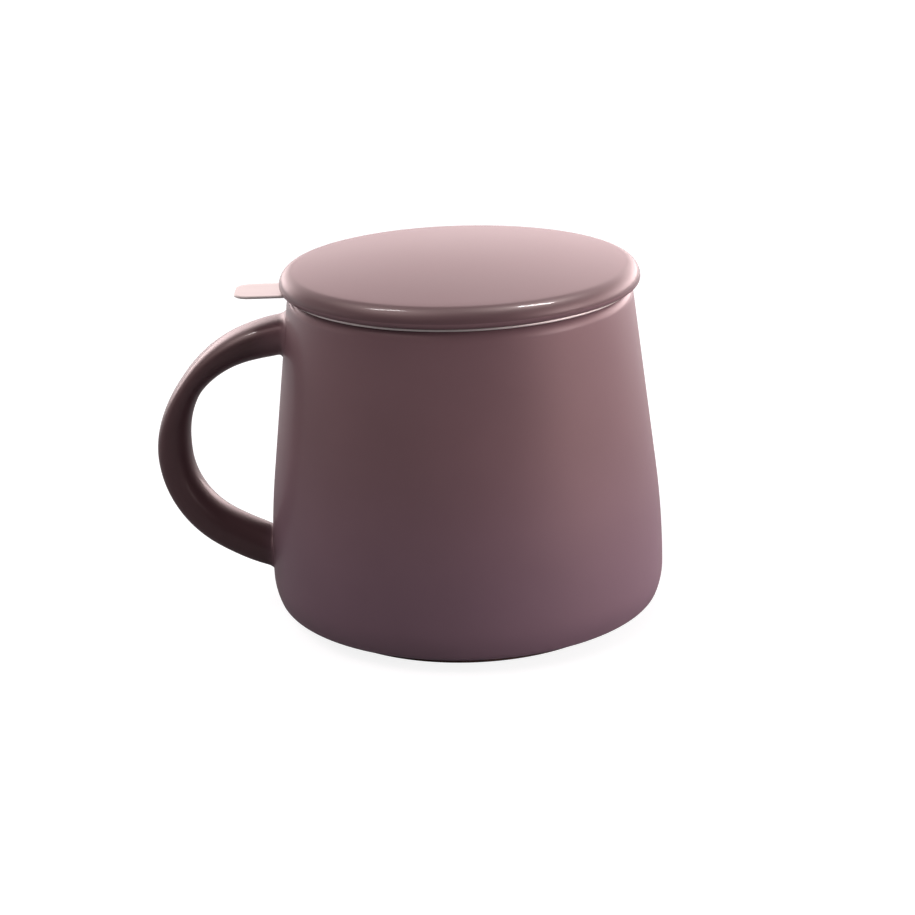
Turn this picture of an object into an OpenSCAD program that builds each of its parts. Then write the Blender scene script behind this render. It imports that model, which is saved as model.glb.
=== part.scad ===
// Lidded tea mug with a lift-out strainer basket, in millimetres.
// The origin is on the mug's axis, on the plane that its foot stands on.
// +Z is up, and the handle and the basket's tab point along -X.

/* [Mug body] */
// Largest diameter of the body, low on the belly
body_d = 100; // [90:1:112]
// Height of the body's lip above the table
body_h = 83.7; // [74:0.1:100]
// Lean of the straight side, in degrees from upright
side_taper = 6.9; // [5:0.1:8.5]
// Radius of the long curve between the belly and the straight side
belly_curve_r = 213; // [120:1:300]
// Radius of the curve that draws in below the belly
heel_curve_r = 17; // [12:0.5:22]
// How far round that curve runs before the tight bottom corner, in degrees
heel_turn = 22; // [15:1:35]
// Radius of the tight bottom corner
corner_r = 2; // [1:0.25:4]
// Thickness of the side wall, and of the round lip at its top
wall = 4.2; // [3.4:0.1:5.5]
// Thickness of the floor inside the foot ring
floor_t = 4.6; // [3:0.1:7]
// Radius between the floor and the wall, inside
well_r = 11; // [5:0.5:16]

/* [Foot ring] */
// Outer diameter of the turned foot ring
foot_d = 82.8; // [70:0.2:85]
// Width of the ring
foot_w = 4.5; // [3:0.25:8]
// Height of the body's underside above the table, outside the ring
foot_h = 3.5; // [2:0.1:5]
// Depth of the hollow inside the ring
foot_hollow = 2.6; // [1:0.1:3.5]
// Radius of the ring's worn edges
foot_edge_r = 0.7; // [0.3:0.1:1.2]

/* [Handle] */
// Depth of the handle's centre line below the mug's rim, where it leaves the body at the top
handle_drop = 10.3; // [8.7:0.1:17]
// Slope of the centre line there, in degrees below level
handle_start = 7; // [0:1:12]
// Radius of the shallow arc by the body, at the top
handle_top_r = 64; // [45:1:80]
// Radius of the upper bow
handle_upper_r = 28.3; // [24:0.1:32]
// Radius of the lower bow
handle_lower_r = 25.8; // [20:0.1:29]
// Radius of the shallow arc by the body, at the bottom
handle_tail_r = 70; // [45:1:90]
// Width of the strap, across the view
handle_w = 12.6; // [9:0.1:16]
// Thickness of the strap where it leaves the body at the top
handle_root_t = 10.8; // [7:0.1:12]
// Thickness at its slimmest, on the upper bow
handle_slim_t = 6.4; // [5:0.1:8]
// Thickness on the outermost part, where the fingers pull
handle_side_t = 8.5; // [7:0.1:10]
// Thickness of the strap where it meets the body at the bottom
handle_tail_t = 10.6; // [9:0.1:13]
// How far the clay is smoothed out where the strap joins the body
handle_blend = 1.6; // [0.4:0.1:2.5]

/* [Lid] */
// How far the lid's edge stands out past the mug's rim
lid_overhang = 1.7; // [0.8:0.1:4]
// Radius of the upper side of the lid's edge
lid_edge_top_r = 3; // [2:0.1:4.5]
// Radius of the under side of the lid's edge
lid_edge_low_r = 2; // [1.2:0.1:3]
// Radius of the lid's shallow dome
lid_dome_r = 440; // [250:5:900]
// Thickness of the lid at its centre
lid_t = 6; // [4.5:0.1:7]
// Step from the seat up to the lid's edge
lid_relief = 0.35; // [0.2:0.05:1]
// Depth of the locating ring below the seat
lid_ring_h = 6; // [4:0.25:9]
// Width of the locating ring
lid_ring_w = 3.6; // [2.5:0.1:5]
// Play between the locating ring and the basket's neck
lid_play = 0.8; // [0.4:0.1:1.5]

/* [Strainer basket] */
// Thickness of the collar's and the base cap's sheet steel
sheet_t = 0.5; // [0.4:0.05:0.8]
// Thickness of the perforated sheet
sleeve_t = 0.4; // [0.3:0.05:0.6]
// How far the collar's edge stays inside the mug's rim
collar_inset = 0.5; // [0.2:0.1:1.5]
// Play between the basket's neck and the mug's mouth
neck_play = 0.6; // [0.4:0.1:1.5]
// Height of the plain neck
neck_h = 10; // [8:0.5:15]
// Radius of the bend between the collar and the neck
neck_bend_r = 1; // [0.6:0.1:1.8]
// Reach of the lifting tab past the collar
tab_l = 15.6; // [10:0.2:22]
// Width of the lifting tab
tab_w = 13.8; // [10:0.2:20]
// Corner radius of the lifting tab
tab_corner_r = 3.5; // [1.5:0.25:4.5]
// Depth of the basket below the mug's lip
basket_depth = 61; // [45:1:68]
// How far the sleeve slips into the neck
sleeve_lap = 4; // [2:0.5:6]
// Width of the sleeve's welded side seam
seam_w = 5; // [3:0.5:8]
// Height of the base cap's wall
cap_h = 6; // [4:0.5:10]
// Width of the base cap's turned-in lip
cap_lip = 4.5; // [3:0.5:7]

/* [Perforations] */
// Diameter of the holes
hole_d = 2; // [1.2:0.1:2.6]
// Spacing of the holes round the sleeve
hole_pitch = 6.4; // [5:0.2:10]
// Height from one row of holes to the next
row_pitch = 5; // [4:0.25:8]
// Plain margin left at the neck, the cap and the seam
hole_margin = 2; // [1:0.25:5]

/* [Hidden] */
$fn = 96;
glaze = "#6b5053";
steel = "#cfc6c4";

// Outside of the body
body_r = body_d / 2;
foot_r = foot_d / 2;
corner_z = foot_h + corner_r;
belly_z = corner_z + (heel_curve_r - corner_r) * sin(heel_turn);
heel_x = body_r - heel_curve_r;
corner_x = heel_x + (heel_curve_r - corner_r) * cos(heel_turn);
belly_x = body_r - belly_curve_r;
straight_x = belly_x + belly_curve_r * cos(side_taper);
straight_z = belly_z + belly_curve_r * sin(side_taper);

// Lip, a half round between the outer and the inner wall
lip_r = wall / 2;
lip_z = body_h - lip_r;
lip_x = straight_x - (lip_z - straight_z) * tan(side_taper) - lip_r / cos(side_taper);
rim_r = lip_x + lip_r;
mouth_r = lip_x - lip_r;

// Inside of the body
floor_z = foot_hollow + floor_t;
well_z = floor_z + well_r;
well_turn = asin((well_z - belly_z) / (belly_curve_r - wall - well_r));
well_x = belly_x + (belly_curve_r - wall - well_r) * cos(well_turn);

// Basket, from the mug's mouth inwards
seat_z = body_h + sheet_t;
collar_r = rim_r - collar_inset;
neck_r = mouth_r - neck_play;
sleeve_r = neck_r - sheet_t;
neck_end = body_h - neck_h;
sleeve_top = neck_end + sleeve_lap;
cap_z = body_h - basket_depth;
screen_z = cap_z + sheet_t;
sleeve_z = screen_z + sleeve_t;
cap_top = cap_z + cap_h;

// Lid
lid_r = rim_r + lid_overhang;
lid_edge_z = seat_z + lid_relief + lid_edge_low_r;
lid_edge_x = lid_r - lid_edge_top_r;
lid_slope = asin(lid_edge_x / (lid_dome_r - lid_edge_top_r));
lid_dome_z = lid_edge_z - (lid_dome_r - lid_edge_top_r) * cos(lid_slope);
lid_top = lid_dome_z + lid_dome_r;
lid_under = lid_top - lid_t;
lid_ring_r = sleeve_r - lid_play;
lid_seat_r = min(lid_r - lid_edge_low_r, collar_r) - 2 * lid_relief;
lid_fillet = 1.5;

// Handle: the strap's centre line starts and ends in the wall, and is four arcs that run into each other
handle_top_z = body_h - handle_drop;
handle_sink = 0.45 * wall;
handle_turns = [10.5, 72.5, 59, 12];
handle_arcs = [handle_top_r, handle_upper_r, handle_lower_r, handle_tail_r];
handle_steps = [5, 16, 14, 6];
handle_sides = 24;
handle_square = 2.5;
handle_end_len = 4;
// Shares of the strap's length at which it is slimmest and outermost
handle_slim_at = 0.34;
handle_side_at = 0.54;

// Points on the arc round c from angle a0 to a1
function arc(c, r, a0, a1, n = 10) =
    [for (i = [0 : n]) let (a = a0 + (a1 - a0) * i / n) c + r * [cos(a), sin(a)]];

// Outline of the outer side, from the bottom corner up to the lip
function outer_side() = concat(
    arc([corner_x, corner_z], corner_r, -90, -heel_turn, 8),
    arc([heel_x, belly_z], heel_curve_r, -heel_turn, 0, 8),
    arc([belly_x, belly_z], belly_curve_r, 0, side_taper, 10));

// Outline of the inner side, from the lip down to the floor
function inner_side() = concat(
    arc([belly_x, belly_z], belly_curve_r - wall, side_taper, well_turn, 10),
    arc([well_x, well_z], well_r, well_turn, -90, 12));

// Outer radius of the body at a height on the straight side or the belly curve
function side_r(z) = z > straight_z
    ? straight_x - (z - straight_z) * tan(side_taper)
    : belly_x + sqrt(belly_curve_r ^ 2 - (z - belly_z) ^ 2);

// Body with its foot ring, turned in one piece
module mug_body() {
    color(glaze)
    rotate_extrude()
        polygon(concat(
            arc([foot_r - foot_edge_r, foot_edge_r], foot_edge_r, -90, 0, 4),
            [[foot_r, foot_h]],
            outer_side(),
            arc([lip_x, lip_z], lip_r, side_taper, 180 + side_taper, 16),
            inner_side(),
            [[0, floor_z], [0, foot_hollow], [foot_r - foot_w, foot_hollow]],
            arc([foot_r - foot_w + foot_edge_r, foot_edge_r], foot_edge_r, 180, 270, 4)));
}

// Everything inside the body's outer side
module body_fill() {
    rotate_extrude()
        polygon(concat([[0, foot_h]], outer_side(),
            arc([lip_x, lip_z], lip_r, side_taper, 90, 8), [[0, body_h]]));
}

// Centre line of the handle as [x, z, heading, length so far], with the heading in degrees below -X
function strap(start, r, turn, steps) =
    [for (i = [1 : steps]) let (h = start[2] + turn * i / steps)
        [start[0] - r * (sin(h) - sin(start[2])), start[1] - r * (cos(start[2]) - cos(h)), h,
         start[3] + r * turn * PI / 180 * i / steps]];

function strap_line(start, k = 0) = k == len(handle_arcs) ? [] :
    let (part = strap(start, handle_arcs[k], handle_turns[k], handle_steps[k]))
    concat(part, strap_line(part[len(part) - 1], k + 1));

// Thickness of the strap at a share u of its length
function strap_t(u) = lookup(u, [[0, handle_root_t], [handle_slim_at, handle_slim_t],
                                 [handle_side_at, handle_side_t], [1, handle_tail_t]]);

// Extra size towards an end of the strap, d along from the body
function blend(d) = handle_blend * max(0, 1 - max(0, d) / handle_end_len) ^ 2;

// One soft-cornered oval section of the strap
function strap_ring(p, t, w) = [for (i = [0 : handle_sides - 1]) let (
        a = 360 * i / handle_sides,
        n = t / 2 * sign(cos(a)) * abs(cos(a)) ^ (2 / handle_square),
        y = w / 2 * sign(sin(a)) * abs(sin(a)) ^ (2 / handle_square))
    [p[0] - n * sin(p[2]), y, p[1] + n * cos(p[2])]];

module strap_solid() {
    first = [-(side_r(handle_top_z) - handle_sink), handle_top_z, handle_start, 0];
    line = concat([first], strap_line(first));
    last = len(line) - 1;
    total = line[last][3];
    sides = handle_sides;
    points = [for (p = line) let (
            grow = 2 * blend(p[3] - handle_sink) + 2 * blend(total - handle_sink - p[3]))
        each strap_ring(p, strap_t(p[3] / total) + grow, handle_w + grow)];
    walls = [for (i = [0 : last - 1], j = [0 : sides - 1])
        let (a = i * sides + j, b = i * sides + (j + 1) % sides)
        each [[a, b, b + sides], [a, b + sides, a + sides]]];
    polyhedron(points, concat(walls,
        [[for (j = [sides - 1 : -1 : 0]) j]],
        [[for (j = [0 : sides - 1]) last * sides + j]]));
}

// Pulled strap handle, cut to the curve of the body that it is joined to
module mug_handle() {
    color(glaze)
    difference() {
        strap_solid();
        body_fill();
    }
}

// Domed lid with a seat and a locating ring underneath
module lid() {
    color(glaze)
    rotate_extrude()
        polygon(concat(
            [[0, lid_under]],
            arc([lid_ring_r - lid_ring_w - lid_fillet, lid_under - lid_fillet], lid_fillet, 90, 0, 5),
            arc([lid_ring_r - lid_ring_w / 2, seat_z - lid_ring_h + lid_ring_w / 2], lid_ring_w / 2,
                180, 360, 12),
            [[lid_ring_r, seat_z], [lid_seat_r, seat_z], [lid_seat_r + lid_relief, seat_z + lid_relief]],
            arc([lid_r - lid_edge_low_r, lid_edge_z], lid_edge_low_r, -90, 0, 8),
            arc([lid_edge_x, lid_edge_z], lid_edge_top_r, 0, 90 - lid_slope, 10),
            arc([0, lid_dome_z], lid_dome_r, 90 - lid_slope, 90, 12)));
}

// Flat collar and neck, drawn in one piece with the lifting tab
module infuser_collar() {
    tab_end = collar_r + tab_l;
    color(steel)
    union() {
        rotate_extrude()
            polygon(concat(
                [[collar_r, body_h], [collar_r, seat_z]],
                arc([neck_r + neck_bend_r, body_h - neck_bend_r], neck_bend_r + sheet_t, 90, 180, 8),
                [[sleeve_r, neck_end], [neck_r, neck_end]],
                arc([neck_r + neck_bend_r, body_h - neck_bend_r], neck_bend_r, 180, 90, 8)));
        translate([0, 0, body_h])
            linear_extrude(sheet_t)
            difference() {
                union() {
                    translate([-tab_end + tab_corner_r, -tab_w / 2])
                        square([tab_end - tab_corner_r, tab_w]);
                    translate([-tab_end, -tab_w / 2 + tab_corner_r])
                        square([tab_end, tab_w - 2 * tab_corner_r]);
                    for (side = [-1, 1])
                        translate([-tab_end + tab_corner_r, side * (tab_w / 2 - tab_corner_r)])
                            circle(tab_corner_r);
                }
                circle(collar_r - sheet_t);
            }
    }
}

// Rolled sleeve with staggered rows of holes and a lapped seam opposite the tab
module infuser_sleeve() {
    holes_low = cap_top + hole_margin + hole_d / 2;
    holes_high = neck_end - hole_margin - hole_d / 2;
    rows = floor((holes_high - holes_low) / row_pitch);
    row_start = (holes_low + holes_high - rows * row_pitch) / 2;
    columns = floor(2 * PI * sleeve_r / hole_pitch);
    step = 360 / columns;
    seam_turn = seam_w / sleeve_r * 180 / PI;
    clear_turn = seam_turn / 2 + (hole_margin + hole_d / 2) / sleeve_r * 180 / PI;
    color(steel)
    difference() {
        union() {
            translate([0, 0, sleeve_z])
                difference() {
                    cylinder(h = sleeve_top - sleeve_z, r = sleeve_r);
                    translate([0, 0, -1])
                        cylinder(h = sleeve_top - sleeve_z + 2, r = sleeve_r - sleeve_t);
                }
            rotate([0, 0, -seam_turn / 2])
                rotate_extrude(angle = seam_turn)
                translate([sleeve_r - sleeve_t / 2, cap_top])
                square([1.5 * sleeve_t, neck_end - cap_top]);
        }
        for (row = [0 : rows], column = [0 : columns - 1]) {
            turn = (column + (row % 2) / 2) * step;
            if (turn > clear_turn && turn < 360 - clear_turn)
                rotate([0, 0, turn])
                translate([sleeve_r - 3 * sleeve_t, 0, row_start + row * row_pitch])
                rotate([0, 90, 0])
                cylinder(h = 5 * sleeve_t, d = hole_d, $fn = 24);
        }
    }
}

// Shallow cap that closes the sleeve's foot and carries the screen on its turned-in lip
module infuser_base_cap() {
    color(steel)
    rotate_extrude()
        polygon(concat(
            arc([sleeve_r - sheet_t / 2, cap_z + 1.5 * sheet_t], 1.5 * sheet_t, -90, 0, 6),
            [[neck_r, cap_top], [sleeve_r, cap_top], [sleeve_r, screen_z], [sleeve_r - cap_lip, screen_z],
             [sleeve_r - cap_lip, cap_z]]));
}

// Perforated disc, held between the cap's lip and the end of the sleeve
module infuser_screen() {
    reach = sleeve_r - cap_lip - hole_margin - hole_d / 2;
    rings = floor(reach / hole_pitch);
    color(steel)
    translate([0, 0, screen_z])
        difference() {
            cylinder(h = sleeve_t, r = sleeve_r);
            translate([0, 0, -1])
                cylinder(h = sleeve_t + 2, d = hole_d, $fn = 24);
            for (ring = [1 : rings], i = [0 : 6 * ring - 1])
                rotate([0, 0, 60 * i / ring])
                translate([ring * hole_pitch, 0, -1])
                cylinder(h = sleeve_t + 2, d = hole_d, $fn = 24);
        }
}

mug_body();
mug_handle();
lid();
infuser_collar();
infuser_sleeve();
infuser_base_cap();
infuser_screen();
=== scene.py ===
from math import asin, atan, ceil, copysign, cos, degrees, hypot, pi, radians, sin, sqrt, tan

import bpy
from mathutils import Matrix, Vector


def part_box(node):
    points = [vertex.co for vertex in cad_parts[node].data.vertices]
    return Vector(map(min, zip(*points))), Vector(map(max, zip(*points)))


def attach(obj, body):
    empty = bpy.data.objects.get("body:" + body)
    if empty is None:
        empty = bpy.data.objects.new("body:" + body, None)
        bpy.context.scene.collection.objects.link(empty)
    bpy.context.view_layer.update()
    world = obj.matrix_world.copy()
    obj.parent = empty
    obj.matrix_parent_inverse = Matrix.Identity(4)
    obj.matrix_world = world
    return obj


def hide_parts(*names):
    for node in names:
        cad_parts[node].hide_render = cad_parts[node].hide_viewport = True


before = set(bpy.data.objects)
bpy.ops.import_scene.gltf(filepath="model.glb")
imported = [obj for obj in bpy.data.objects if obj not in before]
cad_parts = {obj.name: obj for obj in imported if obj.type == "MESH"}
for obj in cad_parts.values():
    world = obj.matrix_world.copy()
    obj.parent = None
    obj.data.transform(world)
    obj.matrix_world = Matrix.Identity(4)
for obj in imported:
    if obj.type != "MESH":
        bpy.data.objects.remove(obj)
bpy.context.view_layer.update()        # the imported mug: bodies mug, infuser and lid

mm = 0.001


def startPiece(name):
    # everything else is let go first, because the operators act on all that is selected
    if bpy.context.object and bpy.context.object.mode != "OBJECT":
        bpy.ops.object.mode_set(mode="OBJECT")
    bpy.ops.object.select_all(action="DESELECT")
    print("making", name)


def endPiece(name, angle=35):
    piece = bpy.context.object
    if piece.mode != "OBJECT":
        bpy.ops.object.mode_set(mode="OBJECT")
    piece.name = name
    piece.data.name = name
    bpy.ops.object.shade_smooth_by_angle(angle=radians(angle))
    return piece


def applyModifier(kind, **settings):
    piece = bpy.context.object
    modifier = piece.modifiers.new(kind.title(), kind)
    for key, value in settings.items():
        setattr(modifier, key, value)
    bpy.ops.object.modifier_apply(modifier=modifier.name)


def selectWhere(test, kind="VERT"):
    # selects the vertices, edges or faces whose middle passes the test
    piece = bpy.context.object
    bpy.ops.mesh.select_mode(type=kind)
    bpy.ops.mesh.select_all(action="DESELECT")
    bpy.ops.object.mode_set(mode="OBJECT")
    mesh = piece.data
    if kind == "VERT":
        for vertex in mesh.vertices:
            vertex.select = test(vertex.co)
    elif kind == "EDGE":
        for edge in mesh.edges:
            a, b = (mesh.vertices[i].co for i in edge.vertices)
            edge.select = test((a + b) / 2, b - a)
    else:
        for face in mesh.polygons:
            face.select = test(face.center, face.normal)
    bpy.ops.object.mode_set(mode="EDIT")


def arcPoints(centre, radius, start, end, steps, tall=1):
    # points in the (r, z) plane, with angles in degrees; a `tall` arc is drawn out upwards
    turns = [radians(start + (end - start) * i / steps) for i in range(steps + 1)]
    return [(centre[0] + radius * cos(t), centre[1] + radius * tall * sin(t)) for t in turns]


def spinOutline(outline, steps, closed=False):
    # an outline in mm is drawn point by point, as with extrude in the front view, and spun about Z
    bpy.ops.mesh.primitive_plane_add(size=mm, location=(0, 0, 0))
    bpy.ops.object.mode_set(mode="EDIT")
    bpy.ops.mesh.select_mode(type="VERT")
    bpy.ops.mesh.merge(type="CENTER")
    points = [Vector((r * mm, 0, z * mm)) for r, z in outline]
    bpy.ops.transform.translate(value=points[0])
    for a, b in zip(points, points[1:]):
        if (b - a).length > 1e-6:
            bpy.ops.mesh.extrude_region_move(TRANSFORM_OT_translate={"value": b - a})
    bpy.ops.mesh.select_all(action="SELECT")
    if closed:
        bpy.ops.mesh.edge_face_add()
        bpy.ops.mesh.delete(type="ONLY_FACE")
        bpy.ops.mesh.select_all(action="SELECT")
    bpy.ops.mesh.spin(steps=steps, angle=2 * pi, center=(0, 0, 0), axis=(0, 0, 1))
    bpy.ops.mesh.select_all(action="SELECT")
    bpy.ops.mesh.remove_doubles(threshold=2e-6)
    bpy.ops.mesh.normals_make_consistent(inside=False)


# colours and materials

def linear(hexColour, alpha=1):
    # an sRGB hex colour as the linear values that the shaders take
    parts = [int(hexColour[i:i + 2], 16) / 255 for i in (1, 3, 5)]
    return (*(p / 12.92 if p <= 0.04045 else ((p + 0.055) / 1.055) ** 2.4 for p in parts), alpha)


def addNode(tree, kind, links=None, **settings):
    # one node: plain settings by attribute, sockets by name in `links`, a value or another node's output
    node = tree.nodes.new(kind)
    for key, value in settings.items():
        setattr(node, key, value)
    for key, value in (links or {}).items():
        socket = node.inputs[key]
        if isinstance(value, bpy.types.NodeSocket):
            tree.links.new(value, socket)
        else:
            socket.default_value = value
    return node


def newMaterial(name):
    material = bpy.data.materials.new(name)
    material.use_nodes = True
    tree = material.node_tree
    tree.nodes.clear()
    output = tree.nodes.new("ShaderNodeOutputMaterial")
    return material, tree, output


glaze = {
    "brown": "#725b61",      # the glaze high on the body
    "mauve": "#715d6a",      # the glaze low on the body, bluer towards the foot
    "dark": "#4c3a3e",       # painted shade: the handle's colour, darker because the body keeps the light from it
    "blendFrom": 12,          # mm above the table, where the change of colour starts and ends
    "blendTo": 62,
    "lidFrom": 86,           # the lid's edge lies above this height
    "lidShadeFrom": 4.2,         # mm in from the lid's edge, where the painted shade on its rounded band starts
    "lidShadeTo": 1.2,
    "thin": 0.62,            # painted shade at the edge, as a share of the colour
    "handleShadeFrom": -45,       # the handle's painted shade starts at this X and is full at the next
    "handleShadeTo": -53,
    "cloud": 38,             # mm across the slow changes of shade
    "peel": 2.6,             # mm between the faint waves of the fired surface
    "pitApart": 4.95,        # mm between pinholes
    "pitCore": 0.02,         # radius of a pinhole's floor and of its edge, as shares of that
    "pitEdge": 0.07,
    "sheen": "#ffe2de",      # tint of its reflections
    "coat": 0.2,             # share of clearer glass at the surface
    "coatRoughness": 0.09,
    "roughness": 0.5,
    "roughSway": 0.02,       # either way, with the clouds
}


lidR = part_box("lid")[1].x        # in metres


def satinGlaze():
    # stoneware with a satin magnesium glaze: soft broad reflections, pale at a grazing angle, a faint
    # orange peel, and a few pinholes that catch the light
    material, tree, output = newMaterial("satinStonewareGlaze")
    place = addNode(tree, "ShaderNodeTexCoord").outputs["Object"]
    apart = addNode(tree, "ShaderNodeSeparateXYZ", {"Vector": place})
    heightBlend = addNode(tree, "ShaderNodeMapRange", {
        "Value": apart.outputs["Z"],
        "From Min": glaze["blendFrom"] * mm, "From Max": glaze["blendTo"] * mm},
        interpolation_type="SMOOTHSTEP").outputs["Result"]
    cloud = addNode(tree, "ShaderNodeTexNoise", {
        "Vector": place, "Scale": 1 / (glaze["cloud"] * mm),
        "Detail": 3.0, "Roughness": 0.5}).outputs["Fac"]
    ground = addNode(tree, "ShaderNodeMix", {
        "Factor": heightBlend, "A": linear(glaze["mauve"]), "B": linear(glaze["brown"])},
        data_type="RGBA")
    # painted shade: out towards the handle the colour turns to the darker one
    second = addNode(tree, "ShaderNodeMapRange", {
        "Value": apart.outputs["X"],
        "From Min": glaze["handleShadeTo"] * mm, "From Max": glaze["handleShadeFrom"] * mm,
        "To Min": 1.0, "To Max": 0.0}, interpolation_type="SMOOTHSTEP").outputs["Result"]
    base = addNode(tree, "ShaderNodeMix", {
        "Factor": second, "A": ground.outputs[2], "B": linear(glaze["dark"])}, data_type="RGBA")
    shade = addNode(tree, "ShaderNodeMapRange", {
        "Value": cloud, "From Min": 0.3, "From Max": 0.7, "To Min": 0.94, "To Max": 1.05})
    # painted shade: round the lid's edge the colour is darkened, for the shade on its rounded band
    onLid = addNode(tree, "ShaderNodeMath", {
        0: apart.outputs["Z"], 1: glaze["lidFrom"] * mm}, operation="GREATER_THAN")
    around = addNode(tree, "ShaderNodeVectorMath", {0: place, 1: (1, 1, 0)}, operation="MULTIPLY")
    across = addNode(tree, "ShaderNodeVectorMath", {0: around.outputs[0]}, operation="LENGTH")
    rim = addNode(tree, "ShaderNodeMapRange", {
        "Value": across.outputs["Value"],
        "From Min": lidR - glaze["lidShadeFrom"] * mm, "From Max": lidR - glaze["lidShadeTo"] * mm,
        "To Min": 1.0, "To Max": glaze["thin"]}, interpolation_type="SMOOTHSTEP").outputs["Result"]
    lidEdgeShade = addNode(tree, "ShaderNodeMix", {
        "Factor": onLid.outputs[0], "A": 1.0, "B": rim}, data_type="FLOAT").outputs[0]
    shade = addNode(tree, "ShaderNodeMath", {
        0: shade.outputs["Result"], 1: lidEdgeShade}, operation="MULTIPLY")
    mottled = addNode(tree, "ShaderNodeMix", {
        "Factor": 1.0, "A": base.outputs[2], "B": shade.outputs[0]},
        data_type="RGBA", blend_type="MULTIPLY")
    pits = addNode(tree, "ShaderNodeTexVoronoi", {
        "Vector": place, "Scale": 1 / (glaze["pitApart"] * mm)}, feature="F1").outputs["Distance"]
    pit = addNode(tree, "ShaderNodeMapRange", {
        "Value": pits, "From Min": glaze["pitCore"], "From Max": glaze["pitEdge"],
        "To Min": 0.0, "To Max": 1.0}).outputs["Result"]
    peel = addNode(tree, "ShaderNodeTexNoise", {
        "Vector": place, "Scale": 1 / (glaze["peel"] * mm),
        "Detail": 2.0, "Roughness": 0.45}).outputs["Fac"]
    wavy = addNode(tree, "ShaderNodeBump", {
        "Height": peel, "Strength": 0.12, "Distance": 0.05 * mm})
    pitted = addNode(tree, "ShaderNodeBump", {
        "Height": pit, "Strength": 0.25, "Distance": 0.06 * mm, "Normal": wavy.outputs["Normal"]})
    rough = addNode(tree, "ShaderNodeMapRange", {
        "Value": cloud, "From Min": 0.3, "From Max": 0.7,
        "To Min": glaze["roughness"] - glaze["roughSway"],
        "To Max": glaze["roughness"] + glaze["roughSway"]})
    shader = addNode(tree, "ShaderNodeBsdfPrincipled", {
        "Base Color": mottled.outputs[2], "Roughness": rough.outputs["Result"],
        "IOR": 1.52, "Specular Tint": linear(glaze["sheen"]), "Normal": pitted.outputs["Normal"],
        "Coat Weight": glaze["coat"], "Coat Roughness": glaze["coatRoughness"],
        "Coat Normal": pitted.outputs["Normal"]})
    tree.links.new(shader.outputs["BSDF"], output.inputs["Surface"])
    return material


clay = {
    "colour": "#4a3634",
    "grog": 0.5,             # mm across a grain
    "roughness": 0.85,
}


def rawClay():
    # the bare foot: fired stoneware body, dry and finely grogged; its dark brown is partly the clay's
    # and partly painted shade under the mug
    material, tree, output = newMaterial("bareStoneware")
    place = addNode(tree, "ShaderNodeTexCoord").outputs["Object"]
    grog = addNode(tree, "ShaderNodeTexNoise", {
        "Vector": place, "Scale": 1 / (clay["grog"] * mm), "Detail": 4.0}).outputs["Fac"]
    shade = addNode(tree, "ShaderNodeMapRange", {
        "Value": grog, "From Min": 0.3, "From Max": 0.7, "To Min": 0.75, "To Max": 1.2})
    colour = addNode(tree, "ShaderNodeMix", {
        "Factor": 1.0, "A": linear(clay["colour"]), "B": shade.outputs["Result"]},
        data_type="RGBA", blend_type="MULTIPLY")
    bump = addNode(tree, "ShaderNodeBump", {"Height": grog, "Strength": 0.5, "Distance": 0.05 * mm})
    shader = addNode(tree, "ShaderNodeBsdfPrincipled", {
        "Base Color": colour.outputs[2], "Roughness": clay["roughness"],
        "Normal": bump.outputs["Normal"]})
    tree.links.new(shader.outputs["BSDF"], output.inputs["Surface"])
    return material


steel = {
    "colour": "#9d9a98",
    "roughness": 0.3,
    # painted highlight: the cut edge's paler colour brightens it
    "edgeHighlightColour": "#d6d2d0",
    "edgeRoughness": 0.5,
    "grain": 0.35,           # mm across a line of the grain
    "run": 14,               # mm along it
}


def satinSteel(name, colour, roughness):
    # 304 stainless sheet, satin rolled: bright, a little warm, with fine straight grain
    material, tree, output = newMaterial(name)
    place = addNode(tree, "ShaderNodeTexCoord").outputs["Object"]
    drawn = addNode(tree, "ShaderNodeMapping", {
        "Vector": place, "Scale": (1 / (steel["run"] * mm), 1 / (steel["grain"] * mm),
                                   1 / (steel["run"] * mm))}).outputs["Vector"]
    grain = addNode(tree, "ShaderNodeTexNoise", {
        "Vector": drawn, "Scale": 1.0, "Detail": 3.0, "Roughness": 0.6}).outputs["Fac"]
    shade = addNode(tree, "ShaderNodeMapRange", {
        "Value": grain, "From Min": 0.3, "From Max": 0.7, "To Min": 0.93, "To Max": 1.03})
    toned = addNode(tree, "ShaderNodeMix", {
        "Factor": 1.0, "A": linear(colour), "B": shade.outputs["Result"]},
        data_type="RGBA", blend_type="MULTIPLY")
    rough = addNode(tree, "ShaderNodeMapRange", {
        "Value": grain, "From Min": 0.3, "From Max": 0.7,
        "To Min": roughness - 0.02, "To Max": roughness + 0.07})
    bump = addNode(tree, "ShaderNodeBump", {"Height": grain, "Strength": 0.08, "Distance": 0.02 * mm})
    shader = addNode(tree, "ShaderNodeBsdfPrincipled", {
        "Base Color": toned.outputs[2], "Metallic": 1.0, "Roughness": rough.outputs["Result"],
        "Normal": bump.outputs["Normal"]})
    tree.links.new(shader.outputs["BSDF"], output.inputs["Surface"])
    return material


glazeMaterial = satinGlaze()
clayMaterial = rawClay()
steelMaterial = satinSteel("satinStainlessSteel", steel["colour"], steel["roughness"])
paintedEdgeMaterial = satinSteel("steelEdgePaintedHighlight", steel["edgeHighlightColour"], steel["edgeRoughness"])


def dress(piece, node, body, *materials):
    # the piece stands for its CAD node, which is hidden, moves with its body and takes the materials
    # given
    for material in materials:
        piece.data.materials.append(material)
    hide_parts(node)
    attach(piece, body)


# Body

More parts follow.
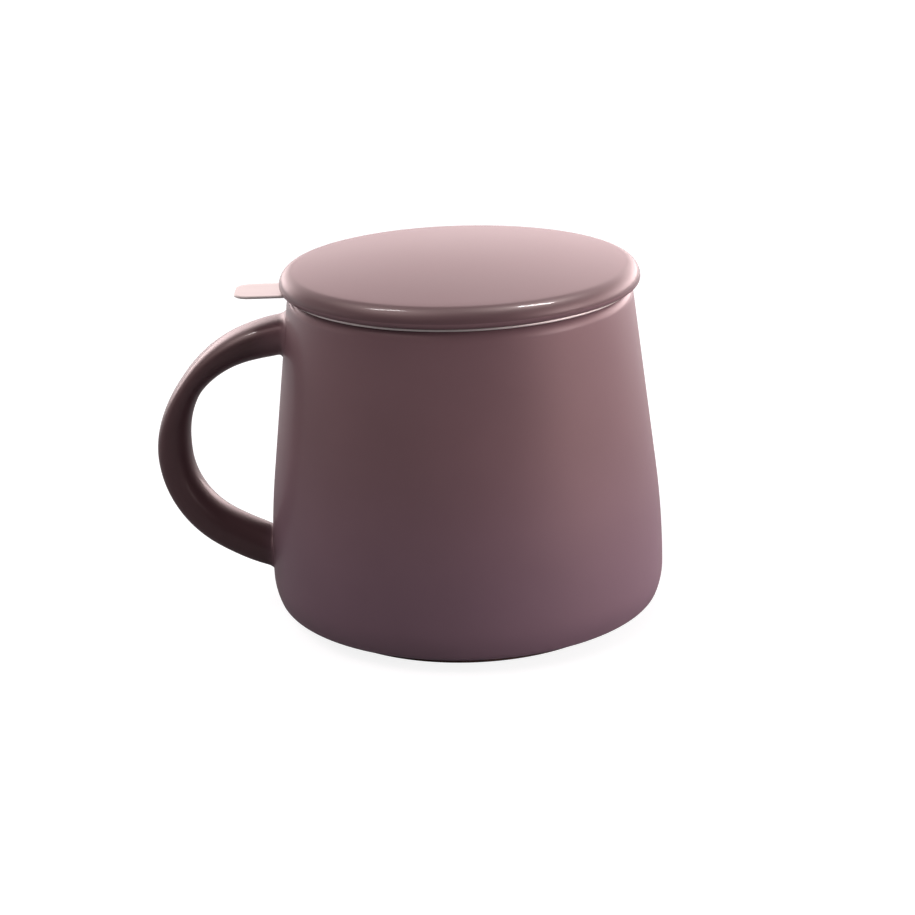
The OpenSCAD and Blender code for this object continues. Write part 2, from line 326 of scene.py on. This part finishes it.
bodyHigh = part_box("mug_body")[1]
mug = {
    "beltR": bodyHigh.x / mm,       # largest radius
    "lipZ": bodyHigh.z / mm + 0.01,
    "taper": 6.9,                   # lean of the straight side, degrees
    "bellyR": 213,                  # long curve from the belly into the straight side
    "heelR": 17,                    # curve drawing in below the belly
    "heelTurn": 22,
    "cornerR": 2,
    "wall": 4.2,
    "floor": 4.6,
    "wellR": 11,
    "footR": 41.4,
    "footW": 4.5,
    "footH": 3.5,
    "footHollow": 2.6,
    "hollowR": 1.2,
    "footEdge": 0.7,
    "footFillet": 0.8,              # glaze gathered where the foot meets the body
    "glazeLine": 1.0,               # height that the glaze was wiped back to
    "glazeStep": 0.35,
    "lipOut": 2.3,                  # the lip falls away to the outside, which leaves a gap
    "lipFall": 3.2,                 # below the collar
    "turns": 192,
}


def mugSizes():
    m = mug
    heelX = m["beltR"] - m["heelR"]
    cornerZ = m["footH"] + m["cornerR"]
    beltZ = cornerZ + (m["heelR"] - m["cornerR"]) * sin(radians(m["heelTurn"]))
    bellyX = m["beltR"] - m["bellyR"]
    lean = radians(m["taper"])
    straight = (bellyX + m["bellyR"] * cos(lean), beltZ + m["bellyR"] * sin(lean))
    lipR = m["wall"] / 2
    lipZ = m["lipZ"] - lipR
    lipX = straight[0] - (lipZ - straight[1]) * tan(lean) - lipR / cos(lean)
    return dict(heelX=heelX, cornerZ=cornerZ, beltZ=beltZ, bellyX=bellyX, straight=straight,
                rimR=lipX + lipR, mouthR=lipX - lipR, lean=lean)


sizes = mugSizes()


def sideRadius(z):
    # outer radius of the body at a height, in mm
    if z > sizes["straight"][1]:
        return sizes["straight"][0] - (z - sizes["straight"][1]) * tan(sizes["lean"])
    return sizes["bellyX"] + sqrt(mug["bellyR"] ** 2 - (z - sizes["beltZ"]) ** 2)


def makeBody():
    startPiece("mug body")
    m, s = mug, sizes
    cornerX = s["heelX"] + (m["heelR"] - m["cornerR"]) * cos(radians(m["heelTurn"]))
    floorZ = m["footHollow"] + m["floor"]
    wellZ = floorZ + m["wellR"]
    inner = m["bellyR"] - m["wall"]
    wellTurn = degrees(asin((wellZ - s["beltZ"]) / (inner - m["wellR"])))
    wellX = s["bellyX"] + (inner - m["wellR"]) * cos(radians(wellTurn))
    ringIn, edge, fillet = m["footR"] - m["footW"], m["footEdge"], m["footFillet"]
    out, fall, lipIn = m["lipOut"], m["lipFall"], m["wall"] - m["lipOut"]
    startTurn = degrees(atan(fall / out * tan(s["lean"])))
    outX = sideRadius(m["lipZ"] - fall * (1 - sin(radians(startTurn)))) - out * cos(radians(startTurn))
    outline = (
        [(0, m["footHollow"]), (ringIn * 0.5, m["footHollow"])]
        + arcPoints((ringIn - m["hollowR"], m["footHollow"] - m["hollowR"]), m["hollowR"], 90, 0, 5)
        + arcPoints((ringIn + edge, edge), edge, 180, 270, 6)
        + arcPoints((m["footR"] - edge, edge), edge, -90, 0, 6)
        + [(m["footR"], m["glazeLine"]), (m["footR"], m["glazeLine"] + m["glazeStep"])]
        + arcPoints((m["footR"] + fillet, m["footH"] - fillet), fillet, 180, 90, 5)
        + arcPoints((cornerX, s["cornerZ"]), m["cornerR"], -90, -m["heelTurn"], 10)
        + arcPoints((s["heelX"], s["beltZ"]), m["heelR"], -m["heelTurn"], 0, 8)
        + arcPoints((s["bellyX"], s["beltZ"]), m["bellyR"], 0, m["taper"], 12)
        + [(sideRadius(z), z) for z in (44, 52, 60, 68, 75)]
        + arcPoints((outX, m["lipZ"] - fall), out, startTurn, 90, 14, tall=fall / out)
        + arcPoints((s["mouthR"] + lipIn, m["lipZ"] - lipIn), lipIn, 90, 180 + m["taper"], 10)
        + [(sideRadius(z) - m["wall"] / cos(s["lean"]), z) for z in (72, 62, 52, 44)]
        + arcPoints((s["bellyX"], s["beltZ"]), inner, m["taper"], wellTurn, 8)
        + arcPoints((wellX, wellZ), m["wellR"], wellTurn, -90, 14)
        + [(wellX * 0.5, floorZ), (0, floorZ)])
    spinOutline(outline, m["turns"])
    piece = endPiece("mugBody")
    dress(piece, "mug_body", "mug", glazeMaterial, clayMaterial)
    # the glaze is wiped off the ring that stands on the table
    for face in piece.data.polygons:
        bare = face.center.z < m["glazeLine"] * mm and hypot(*face.center.xy) > (ringIn - 0.1) * mm
        face.material_index = 1 if bare else 0
    return piece


# Handle

strap = {
    "drop": 10.3,             # centre line below the rim, where it leaves the body at the top
    "startSlope": 7,          # degrees below level
    "sink": 0.45 * mug["wall"],
    "arcs": ((64, 10.5), (28.3, 72.5), (25.8, 59), (70, 12)),    # radius and turn, from the top
    "width": 13.5,
    "rootT": 10.8, "slimT": 6.4, "sideT": 9.2, "tailT": 10.6,    # thickness, from the top
    "slimAt": 0.34, "sideAt": 0.54,    # shares of the way along it
    "outside": 3.2,           # the outer face is flat, nearer a rectangle than an oval, which is 2
    "inside": 2,
    "flat": 0.85,             # thickness of the outer half, as a share of the inner one's
    "bow": 0.34,              # the line lies further out at the side, because of that
    "sides": 32,
    "gap": 1.6,               # mm from ring to ring
    "fillet": 1.6,            # clay smoothed into the body
    "settle": 7,              # over this length the rings turn square to the body's wall
    "follow": 5,              # and this near to it they follow its roundness
    "wallZ": 45,              # height whose radius stands for the wall's
}


def strapLine():
    # stations along the centre line: distance, x, z and heading in degrees below -X
    s = strap
    z = mug["lipZ"] - s["drop"]
    x, heading = -(sideRadius(z) - s["sink"]), s["startSlope"]
    total = sum(r * radians(turn) for r, turn in s["arcs"])
    wall = s["sink"]
    near = [0, wall * 0.5] + [wall + s["fillet"] * k for k in (0, 0.04, 0.12, 0.25, 0.45, 0.7, 1)]
    count = ceil((total - 2 * near[-1]) / s["gap"])
    middle = [near[-1] + (total - 2 * near[-1]) * i / count for i in range(1, count)]
    wanted = near + middle + [total - d for d in reversed(near)]
    stations, start = [], 0
    for radius, turn in s["arcs"]:
        length = radius * radians(turn)
        for d in wanted:
            last = d >= total - 1e-9 and start + length >= total - 1e-9
            if last or start - 1e-9 <= d < start + length - 1e-9:
                h = heading + turn * (d - start) / length
                stations.append((d, x - radius * (sin(radians(h)) - sin(radians(heading)))
                                 - s["bow"] * sin(radians(h)) ** 2,
                                 z - radius * (cos(radians(heading)) - cos(radians(h))), h))
        x -= radius * (sin(radians(heading + turn)) - sin(radians(heading)))
        z -= radius * (cos(radians(heading)) - cos(radians(heading + turn)))
        heading += turn
        start += length
    return stations, total


def strapSize(d, total):
    # thickness and width of the strap at a distance along it, with the fillets at the body
    s = strap
    marks = [(0, s["rootT"]), (s["slimAt"], s["slimT"]), (s["sideAt"], s["sideT"]), (1, s["tailT"])]
    u = d / total
    for (u0, t0), (u1, t1) in zip(marks, marks[1:]):
        if u <= u1:
            k = (u - u0) / (u1 - u0)
            thick = t0 + (t1 - t0) * (3 * k * k - 2 * k ** 3) * 0.5 + (t1 - t0) * k * 0.5
            break
    out = min(d, total - d) - s["sink"]
    f = s["fillet"]
    grow = f if out <= 0 else 0 if out >= f else f - sqrt(f * f - (f - out) ** 2)
    return thick + 2 * grow, s["width"] + 2 * grow


def settleTurn(d, turn):
    # share of a turn that a ring takes on near an end of the strap
    k = max(0, 1 - max(0, d - strap["sink"]) / strap["settle"])
    return turn * k * k * (3 - 2 * k)


def makeHandle():
    startPiece("handle")
    stations, total = strapLine()
    bpy.ops.mesh.primitive_circle_add(vertices=strap["sides"], radius=mm, fill_type="NGON",
                                      location=(0, 0, 0), rotation=(0, pi / 2, 0))
    bpy.ops.object.transform_apply(location=False, rotation=True, scale=False)
    piece = bpy.context.object
    for vertex in piece.data.vertices:         # the circle becomes a D that lies on its round side
        a, b = vertex.co.z / mm, vertex.co.y / mm
        power, share = (2 / strap["outside"], strap["flat"]) if a > 0 else (2 / strap["inside"], 1)
        vertex.co = (0, copysign(abs(b) ** power, b) * mm, copysign(abs(a) ** power, a) * share * mm)
    bpy.ops.object.mode_set(mode="EDIT")
    bpy.ops.mesh.select_all(action="SELECT")
    place, heading, size = Vector((0, 0, 0)), 0, (2, 2)
    for i, (d, x, z, h) in enumerate(stations):
        h += settleTurn(d, -mug["taper"] - stations[0][3]) + settleTurn(total - d, 180 - stations[-1][3])
        move = Vector((x * mm, 0, z * mm)) - place
        if i == 0:
            bpy.ops.transform.translate(value=move)
        else:
            bpy.ops.mesh.extrude_region_move(TRANSFORM_OT_translate={"value": move})
        place = place + move
        thick, width = strapSize(d, total)
        # a ring lies square to the line, so one factor on X and Z changes its thickness alone
        bpy.ops.transform.resize(value=(thick / size[0], width / size[1], thick / size[0]),
                                 center_override=place)
        # this sign is right without a window, where transform.rotate turns the other way
        bpy.ops.transform.rotate(value=radians(h - heading), orient_axis="Y", center_override=place)
        heading, size = h, (thick, width)
    bpy.ops.mesh.select_all(action="SELECT")
    bpy.ops.mesh.normals_make_consistent(inside=False)
    bpy.ops.object.mode_set(mode="OBJECT")
    for vertex in piece.data.vertices:         # near the body the rings follow its round wall
        out = -vertex.co.x / mm - sideRadius(max(vertex.co.z / mm, sizes["beltZ"]))
        k = max(0, min(1, 1 - out / strap["follow"]))
        vertex.co.x += k * k * (3 - 2 * k) * vertex.co.y ** 2 / (2 * sideRadius(strap["wallZ"]) * mm)
    applyModifier("SUBSURF", levels=1, render_levels=1)
    piece = endPiece("mugHandle", 60)
    dress(piece, "mug_handle", "mug", glazeMaterial)
    return piece


# Lid

cover = {
    "seatZ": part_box("infuser_collar")[1].z / mm,    # it sits on the collar
    "overhang": 1.7,
    "topR": 3.6, "lowR": 1.4,    # upper and under side of the edge
    "domeR": 440,
    "thick": 6,
    "relief": 0.35,
    "ringH": 6, "ringW": 3.6, "play": 0.8,
    "fillet": 1.5, "chamfer": 0.4,
    "turns": 192,
}
basket = {
    "sheet": 0.5, "mesh": 0.4,
    "inset": 0.5, "play": 0.6,
    "neckH": 10, "bend": 1,
    "tabL": 13.3, "tabW": 13.8, "tabCorner": 4,
    "tabRoot": (0.2, 1.5, 2.5),    # two steps out of the collar, and where the tab's sides start
    "edge": 0.1,             # rounding of the cut edges
    "turns": 192,
    "depth": 61, "lap": 4, "capH": 6, "capLip": 4.5, "capEdge": 0.12, "capTurns": 128,
}
lipTop = cover["seatZ"] - basket["sheet"]
neckR = sizes["mouthR"] - basket["play"]
sleeveR = neckR - basket["sheet"]
collarR = sizes["rimR"] - basket["inset"]


def makeLid():
    startPiece("lid")
    c = cover
    outer = sizes["rimR"] + c["overhang"]
    edgeZ = c["seatZ"] + c["relief"] + c["lowR"]
    edgeX = outer - c["topR"]
    slope = degrees(asin(edgeX / (c["domeR"] - c["topR"])))
    domeZ = edgeZ - (c["domeR"] - c["topR"]) * cos(radians(slope))
    under = domeZ + c["domeR"] - c["thick"]
    ringR = sleeveR - c["play"]
    ringIn = ringR - c["ringW"]
    seatR = min(outer - c["lowR"], collarR) - 2 * c["relief"]
    outline = (
        [(0, under), (ringIn * 0.5, under)]
        + arcPoints((ringIn - c["fillet"], under - c["fillet"]), c["fillet"], 90, 0, 6)
        + arcPoints((ringR - c["ringW"] / 2, c["seatZ"] - c["ringH"] + c["ringW"] / 2), c["ringW"] / 2,
                    180, 360, 14)
        + [(ringR, c["seatZ"] - c["chamfer"]), (ringR + c["chamfer"], c["seatZ"]),
           (seatR, c["seatZ"]), (seatR + c["relief"], c["seatZ"] + c["relief"])]
        + arcPoints((outer - c["lowR"], edgeZ), c["lowR"], -90, 0, 10)
        + arcPoints((edgeX, edgeZ), c["topR"], 0, 90 - slope, 14)
        + arcPoints((0, domeZ), c["domeR"], 90 - slope, 90, 16))
    spinOutline(outline, c["turns"])
    piece = endPiece("mugLid")
    dress(piece, "lid", "lid", glazeMaterial, clayMaterial)
    for face in piece.data.polygons:           # the seat is left bare, as it was fired standing on it
        level = abs(face.center.z - c["seatZ"] * mm) < 0.05 * mm
        face.material_index = 1 if level and face.normal.z < -0.9 else 0
    return piece


# Collar with its neck and tab

def makeCollar():
    startPiece("infuser collar")
    b = basket
    bendX, bendZ = neckR + b["bend"], lipTop - b["bend"]
    outline = (
        [(collarR, lipTop), (collarR, cover["seatZ"])]
        + arcPoints((bendX, bendZ), b["bend"] + b["sheet"], 90, 180, 8)
        + [(sleeveR, lipTop - b["neckH"]), (neckR, lipTop - b["neckH"])]
        + arcPoints((bendX, bendZ), b["bend"], 180, 90, 8))
    spinOutline(outline, b["turns"], closed=True)
    half = b["tabW"] / 2
    selectWhere(lambda co, normal: hypot(*co.xy) > (collarR - 0.1) * mm and normal.x < -0.5
                and abs(co.y) < half * mm, "FACE")
    # the collar's edge is drawn out to the tab, and drawn in round its corners
    start = -sqrt(collarR ** 2 - half ** 2)
    end, corner = -(collarR + b["tabL"]), b["tabCorner"]
    first, second, root = b["tabRoot"]
    for step in (first, second):
        bpy.ops.mesh.extrude_region_move(TRANSFORM_OT_translate={"value": (-step * mm, 0, 0)})
    bpy.ops.transform.resize(value=(0, 1, 1), center_override=((start - root) * mm, 0, 0))
    x, width = start - root, half
    steps = 8
    for i in range(steps + 1):
        a = radians(90 * i / steps)
        nextX = end + corner * (1 - sin(a))
        nextWidth = half - corner * (1 - cos(a))
        bpy.ops.mesh.extrude_region_move(TRANSFORM_OT_translate={"value": ((nextX - x) * mm, 0, 0)})
        if nextWidth < width:
            bpy.ops.transform.resize(value=(1, nextWidth / width, 1), center_override=(0, 0, 0))
        x, width = nextX, nextWidth
    bpy.ops.mesh.select_all(action="SELECT")
    bpy.ops.mesh.normals_make_consistent(inside=False)
    bpy.ops.object.mode_set(mode="OBJECT")
    applyModifier("BEVEL", width=b["edge"] * mm, segments=2, limit_method="ANGLE",
                  angle_limit=radians(50))
    piece = endPiece("infuserCollar", 40)
    dress(piece, "infuser_collar", "infuser", steelMaterial, paintedEdgeMaterial)
    for face in piece.data.polygons:           # the cut edge is tumbled, so it is less glossy; its paler colour is a painted highlight
        cut = hypot(*face.center.xy) > (collarR - 0.15) * mm and abs(face.normal.z) < 0.9
        face.material_index = 1 if cut else 0
    return piece


# Strainer basket: perforated sleeve, its floor and the cap that holds them together

sieve = {
    "hole": 1.15,          # etched finer than the solid's holes
    "pitch": 2.4, "row": 2.08,
    "columns": 98,         # round the sleeve
    "rows": 20,
    "sides": 12,
    "floorR": 33.2,        # holes in the floor stop here
    "seam": 5,             # plain strip at the welded lap
    "thin": 0.98,          # the sheet is a hair thinner than the solid's, so that it stays within it
    "play": 0.02,          # and the floor a hair smaller
    "capBend": 0.8,
}
sleeveMid = sleeveR - basket["mesh"] / 2
capLow = lipTop - basket["depth"]
screenLow = capLow + basket["sheet"]


def holeSheet(columns, rows, pitch, row, hole):
    # one hole in its rectangle, repeated in a running bond and left flat in the XY plane
    bpy.ops.mesh.primitive_plane_add(size=mm, location=(0, 0, 0))
    bpy.ops.object.mode_set(mode="EDIT")
    bpy.ops.mesh.select_all(action="SELECT")
    bpy.ops.transform.resize(value=(pitch, row, 1))
    bpy.ops.mesh.delete(type="ONLY_FACE")
    selectWhere(lambda middle, run: abs(run.y) < 1e-7, "EDGE")
    bpy.ops.mesh.subdivide(number_cuts=3)
    selectWhere(lambda middle, run: abs(run.x) < 1e-7, "EDGE")
    bpy.ops.mesh.subdivide(number_cuts=1)
    bpy.ops.mesh.select_mode(type="VERT")
    bpy.ops.mesh.primitive_circle_add(vertices=sieve["sides"], radius=hole / 2 * mm, location=(0, 0, 0))
    bpy.ops.mesh.select_all(action="SELECT")
    bpy.ops.mesh.bridge_edge_loops()
    bpy.ops.object.mode_set(mode="OBJECT")
    repeat = dict(use_relative_offset=False, use_constant_offset=True, use_merge_vertices=True,
                  merge_threshold=0.002 * mm)
    applyModifier("ARRAY", count=columns, constant_offset_displace=(pitch * mm, 0, 0), **repeat)
    bpy.ops.object.mode_set(mode="EDIT")
    bpy.ops.mesh.select_all(action="SELECT")
    bpy.ops.mesh.duplicate_move(TRANSFORM_OT_translate={"value": (pitch / 2 * mm, row * mm, 0)})
    bpy.ops.object.mode_set(mode="OBJECT")
    applyModifier("ARRAY", count=rows // 2, constant_offset_displace=(0, 2 * row * mm, 0), **repeat)
    bpy.ops.object.mode_set(mode="EDIT")
    bpy.ops.mesh.select_all(action="SELECT")
    bpy.ops.mesh.remove_doubles(threshold=0.002 * mm)
    bpy.ops.transform.translate(value=(-(columns - 0.5) * pitch / 2 * mm, -(rows - 1) * row / 2 * mm, 0))


def makeSleeve():
    startPiece("infuser sleeve")
    v = sieve
    pitch = 2 * pi * sleeveMid / v["columns"]
    holeSheet(v["columns"], v["rows"], pitch, v["row"], v["hole"])
    # the sheet is drawn out to plain edges, and its holes are closed by the lap
    low = (screenLow + basket["mesh"]) * mm
    high = (lipTop - basket["neckH"] + basket["lap"]) * mm
    half = v["rows"] * v["row"] / 2 * mm
    centre = ((capLow + basket["capH"] + lipTop - basket["neckH"]) / 2) * mm
    for side, edge in ((1, high - centre), (-1, low - centre)):
        selectWhere(lambda co: side * co.y > half - 0.01 * mm)
        bpy.ops.mesh.extrude_region_move(TRANSFORM_OT_translate={"value": (0, edge - side * half, 0)})
    reach = (v["columns"] + 0.5) * pitch / 2 * mm
    selectWhere(lambda co: abs(co.x) > reach - v["seam"] / 2 * mm and abs(co.y) < half - 0.05 * mm)
    bpy.ops.mesh.fill_holes(sides=v["sides"])
    bpy.ops.mesh.select_all(action="SELECT")
    bpy.ops.transform.translate(value=(0, centre, 0))
    bpy.ops.object.mode_set(mode="OBJECT")
    bpy.context.object.rotation_euler = (pi / 2, 0, 0)
    bpy.ops.object.transform_apply(location=False, rotation=True, scale=False)
    applyModifier("SIMPLE_DEFORM", deform_method="BEND", deform_axis="Z",
                  angle=2 * pi * (v["columns"] + 0.5) / v["columns"])
    piece = bpy.context.object
    xs = [vertex.co.x for vertex in piece.data.vertices]
    ys = [vertex.co.y for vertex in piece.data.vertices]
    bpy.ops.object.mode_set(mode="EDIT")
    bpy.ops.mesh.select_all(action="SELECT")
    bpy.ops.transform.translate(value=(-(min(xs) + max(xs)) / 2, -(min(ys) + max(ys)) / 2, 0))
    bpy.ops.mesh.remove_doubles(threshold=0.01 * mm)
    bpy.ops.mesh.normals_make_consistent(inside=False)
    bpy.ops.object.mode_set(mode="OBJECT")
    applyModifier("SOLIDIFY", thickness=basket["mesh"] * v["thin"] * mm, offset=0)
    piece = endPiece("infuserSleeve", 40)
    dress(piece, "infuser_sleeve", "infuser", steelMaterial)
    return piece


def makeScreen():
    startPiece("infuser floor")
    v = sieve
    count = 2 * ceil(sleeveR / v["row"]) + 2
    holeSheet(count, count, v["pitch"], v["row"], v["hole"])
    selectWhere(lambda co: hypot(co.x, co.y) > v["floorR"] * mm)
    bpy.ops.mesh.fill_holes(sides=v["sides"])
    bpy.ops.mesh.select_all(action="SELECT")
    bpy.ops.transform.translate(value=(0, 0, (screenLow + basket["mesh"] / 2) * mm))
    bpy.ops.object.mode_set(mode="OBJECT")
    applyModifier("SOLIDIFY", thickness=basket["mesh"] * v["thin"] * mm, offset=0)
    sheet = bpy.context.object
    bpy.ops.mesh.primitive_cylinder_add(vertices=basket["capTurns"], radius=(sleeveR - v["play"]) * mm,
                                        depth=4 * mm, location=(0, 0, screenLow * mm))
    cutter = bpy.context.object
    bpy.ops.object.transform_apply(location=True, rotation=False, scale=False)
    bpy.ops.object.select_all(action="DESELECT")
    bpy.context.view_layer.objects.active = sheet
    sheet.select_set(True)
    applyModifier("BOOLEAN", operation="INTERSECT", object=cutter, solver="EXACT")
    bpy.data.objects.remove(cutter)
    piece = endPiece("infuserFloor", 40)
    dress(piece, "infuser_screen", "infuser", steelMaterial)
    return piece


def makeCap():
    startPiece("infuser base cap")
    bend, sheet = sieve["capBend"], basket["sheet"]
    centre = (neckR - bend, capLow + bend)
    lip = neckR - basket["capLip"]
    outline = (
        [(lip, capLow + sheet), (lip, capLow)]
        + arcPoints(centre, bend, -90, 0, 6)
        + [(neckR, capLow + basket["capH"]), (sleeveR, capLow + basket["capH"])]
        + arcPoints(centre, bend - sheet, 0, -90, 4))
    spinOutline(outline, basket["capTurns"], closed=True)
    bpy.ops.object.mode_set(mode="OBJECT")
    applyModifier("BEVEL", width=basket["capEdge"] * mm, segments=2, limit_method="ANGLE",
                  angle_limit=radians(50))
    piece = endPiece("infuserBaseCap", 40)
    dress(piece, "infuser_base_cap", "infuser", steelMaterial)
    return piece


makeBody()
makeHandle()
makeLid()
makeCollar()
makeSleeve()
makeScreen()
makeCap()


# Room, lights and camera

photo = {
    "side": 915,                 # pixels
    "focal": 2200,               # pixels
    "elevation": 18.2,           # degrees
    "roll": -1.78,
    "distance": 558.2,           # mm from the pivot to the lens
    "pivotZ": 45,
    "pivotAt": (464.3, 433.8),   # pixel that the pivot falls on
}


def makeCamera():
    print("placing the camera")
    data = bpy.data.cameras.new("photoCamera")
    camera = bpy.data.objects.new("photoCamera", data)
    bpy.context.scene.collection.objects.link(camera)
    data.sensor_width = 36
    data.lens = 36 * photo["focal"] / photo["side"]
    data.clip_start, data.clip_end = 0.01, 50
    tilt = radians(photo["elevation"])
    back = Vector((0, -cos(tilt), sin(tilt)))
    camera.location = Vector((0, 0, photo["pivotZ"] * mm)) + back * photo["distance"] * mm
    aim = (-back).to_track_quat("-Z", "Y").to_matrix() @ Matrix.Rotation(radians(photo["roll"]), 3, "Z")
    camera.rotation_euler = aim.to_euler()
    data.shift_x = (photo["side"] / 2 - photo["pivotAt"][0]) / photo["side"]
    data.shift_y = (photo["pivotAt"][1] - photo["side"] / 2) / photo["side"]
    bpy.context.scene.camera = camera


room = {
    "light": "#ffe9e9",       # the studio's walls give the light a warm cast
    "spread": 20.0,           # the softboxes fade over about 18 degrees
    # softboxes: azimuth from the camera's side towards the right, height in degrees, strength
    "boxes": ((70, 4, 12.2), (110, 4, 5.4), (130, 4, 6.3), (150, 4, 7.3), (170, 4, 1.3), (190, 4, 0.8),
              (210, 4, 7.9), (270, 4, 1.6), (170, 28, 1.4), (330, 28, 0.35), (240, 55, 1), (300, 55, 4)),
    "width": 12,              # metres of floor
    "floor": "#9ca4a6",       # grey, because the front of the mug mirrors it
    "lift": 0.85,             # added for the camera, so that the floor reads as white
    "behind": (50, 450),      # over this reach along Y, in mm, reflections come to see it white too
    "backdrop": (0.5, 0.9),   # and over these directions along Y, the white backdrop
}


def makeRoom():
    print("making the room")
    world = bpy.data.worlds.new("studio")
    bpy.context.scene.world = world
    world.use_nodes = True
    tree = world.node_tree
    tree.nodes.clear()
    output = tree.nodes.new("ShaderNodeOutputWorld")
    towards = addNode(tree, "ShaderNodeTexCoord").outputs["Generated"]
    level = None
    for azimuth, height, strength in room["boxes"]:
        a, h = radians(azimuth), radians(height)
        axis = (sin(a) * cos(h), -cos(a) * cos(h), sin(h))
        facing = addNode(tree, "ShaderNodeVectorMath", {0: towards, 1: axis}, operation="DOT_PRODUCT")
        fade = addNode(tree, "ShaderNodeMath", {0: facing.outputs["Value"], 1: room["spread"],
                                                2: -room["spread"]}, operation="MULTIPLY_ADD")
        glow = addNode(tree, "ShaderNodeMath", {0: fade.outputs[0]}, operation="EXPONENT")
        level = addNode(tree, "ShaderNodeMath", {0: glow.outputs[0], 1: strength, 2: level or 0.0},
                        operation="MULTIPLY_ADD").outputs[0]
    path = addNode(tree, "ShaderNodeLightPath")
    apart = addNode(tree, "ShaderNodeSeparateXYZ", {"Vector": towards})
    back = addNode(tree, "ShaderNodeMapRange", {
        "Value": apart.outputs["Y"], "From Min": room["backdrop"][0], "From Max": room["backdrop"][1]},
        interpolation_type="SMOOTHSTEP").outputs["Result"]
    mirrored = addNode(tree, "ShaderNodeMath", {
        0: back, 1: path.outputs["Is Glossy Ray"]}, operation="MULTIPLY")
    level = addNode(tree, "ShaderNodeMath", {
        0: level, 1: mirrored.outputs[0]}, operation="MAXIMUM").outputs[0]
    studio = addNode(tree, "ShaderNodeBackground", {"Color": linear(room["light"]), "Strength": level})
    white = addNode(tree, "ShaderNodeBackground", {"Color": (1, 1, 1, 1), "Strength": 1.0})
    seen = addNode(tree, "ShaderNodeMath", {
        0: path.outputs["Is Camera Ray"], 1: path.outputs["Is Transmission Ray"]}, operation="MAXIMUM")
    both = addNode(tree, "ShaderNodeMixShader", {
        0: seen.outputs[0], 1: studio.outputs[0], 2: white.outputs[0]})
    tree.links.new(both.outputs[0], output.inputs["Surface"])

    startPiece("floor")
    bpy.ops.mesh.primitive_plane_add(size=room["width"], location=(0, 0, 0))
    floorPiece = endPiece("studioFloor")
    material, tree, output = newMaterial("greyPaper")
    shader = addNode(tree, "ShaderNodeBsdfDiffuse", {"Color": linear(room["floor"])})
    path = addNode(tree, "ShaderNodeLightPath")
    place = addNode(tree, "ShaderNodeTexCoord").outputs["Object"]
    apart = addNode(tree, "ShaderNodeSeparateXYZ", {"Vector": place})
    behind = addNode(tree, "ShaderNodeMapRange", {
        "Value": apart.outputs["Y"],
        "From Min": room["behind"][0] * mm, "From Max": room["behind"][1] * mm},
        interpolation_type="SMOOTHSTEP").outputs["Result"]
    mirrored = addNode(tree, "ShaderNodeMath", {
        0: behind, 1: path.outputs["Is Glossy Ray"]}, operation="MULTIPLY")
    seen = addNode(tree, "ShaderNodeMath", {
        0: path.outputs["Is Camera Ray"], 1: mirrored.outputs[0]}, operation="MAXIMUM")
    lift = addNode(tree, "ShaderNodeMath", {0: seen.outputs[0], 1: room["lift"]}, operation="MULTIPLY")
    glow = addNode(tree, "ShaderNodeEmission", {"Strength": lift.outputs[0]})
    both = addNode(tree, "ShaderNodeAddShader", {0: shader.outputs[0], 1: glow.outputs[0]})
    tree.links.new(both.outputs[0], output.inputs["Surface"])
    floorPiece.data.materials.append(material)


strips = {
    # overhead strip lights, seen as the crisp highlights along the lid's rim: direction and power
    "left": ((-0.43, 0.03, 0.902), 5),
    "right": ((0.42, 0.08, 0.904), 12),
    "aimZ": 80,               # mm above the table, where they point
    "distance": 1.0,          # metres, as is the size
    "size": (0.1, 0.24),
}


def addStrip(name):
    data = bpy.data.lights.new(name + "Strip", "AREA")
    data.shape = "RECTANGLE"
    data.size, data.size_y = strips["size"]
    towards, data.energy = strips[name]
    lamp = bpy.data.objects.new(name + "Strip", data)
    bpy.context.scene.collection.objects.link(lamp)
    lamp.location = Vector(towards) * strips["distance"] + Vector((0, 0, strips["aimZ"] * mm))
    lamp.rotation_euler = Vector(towards).to_track_quat("Z", "Y").to_euler()
    lamp.visible_diffuse = False


makeCamera()
makeRoom()
addStrip("left")
addStrip("right")

bpy.context.scene.view_settings.view_transform = "Standard"
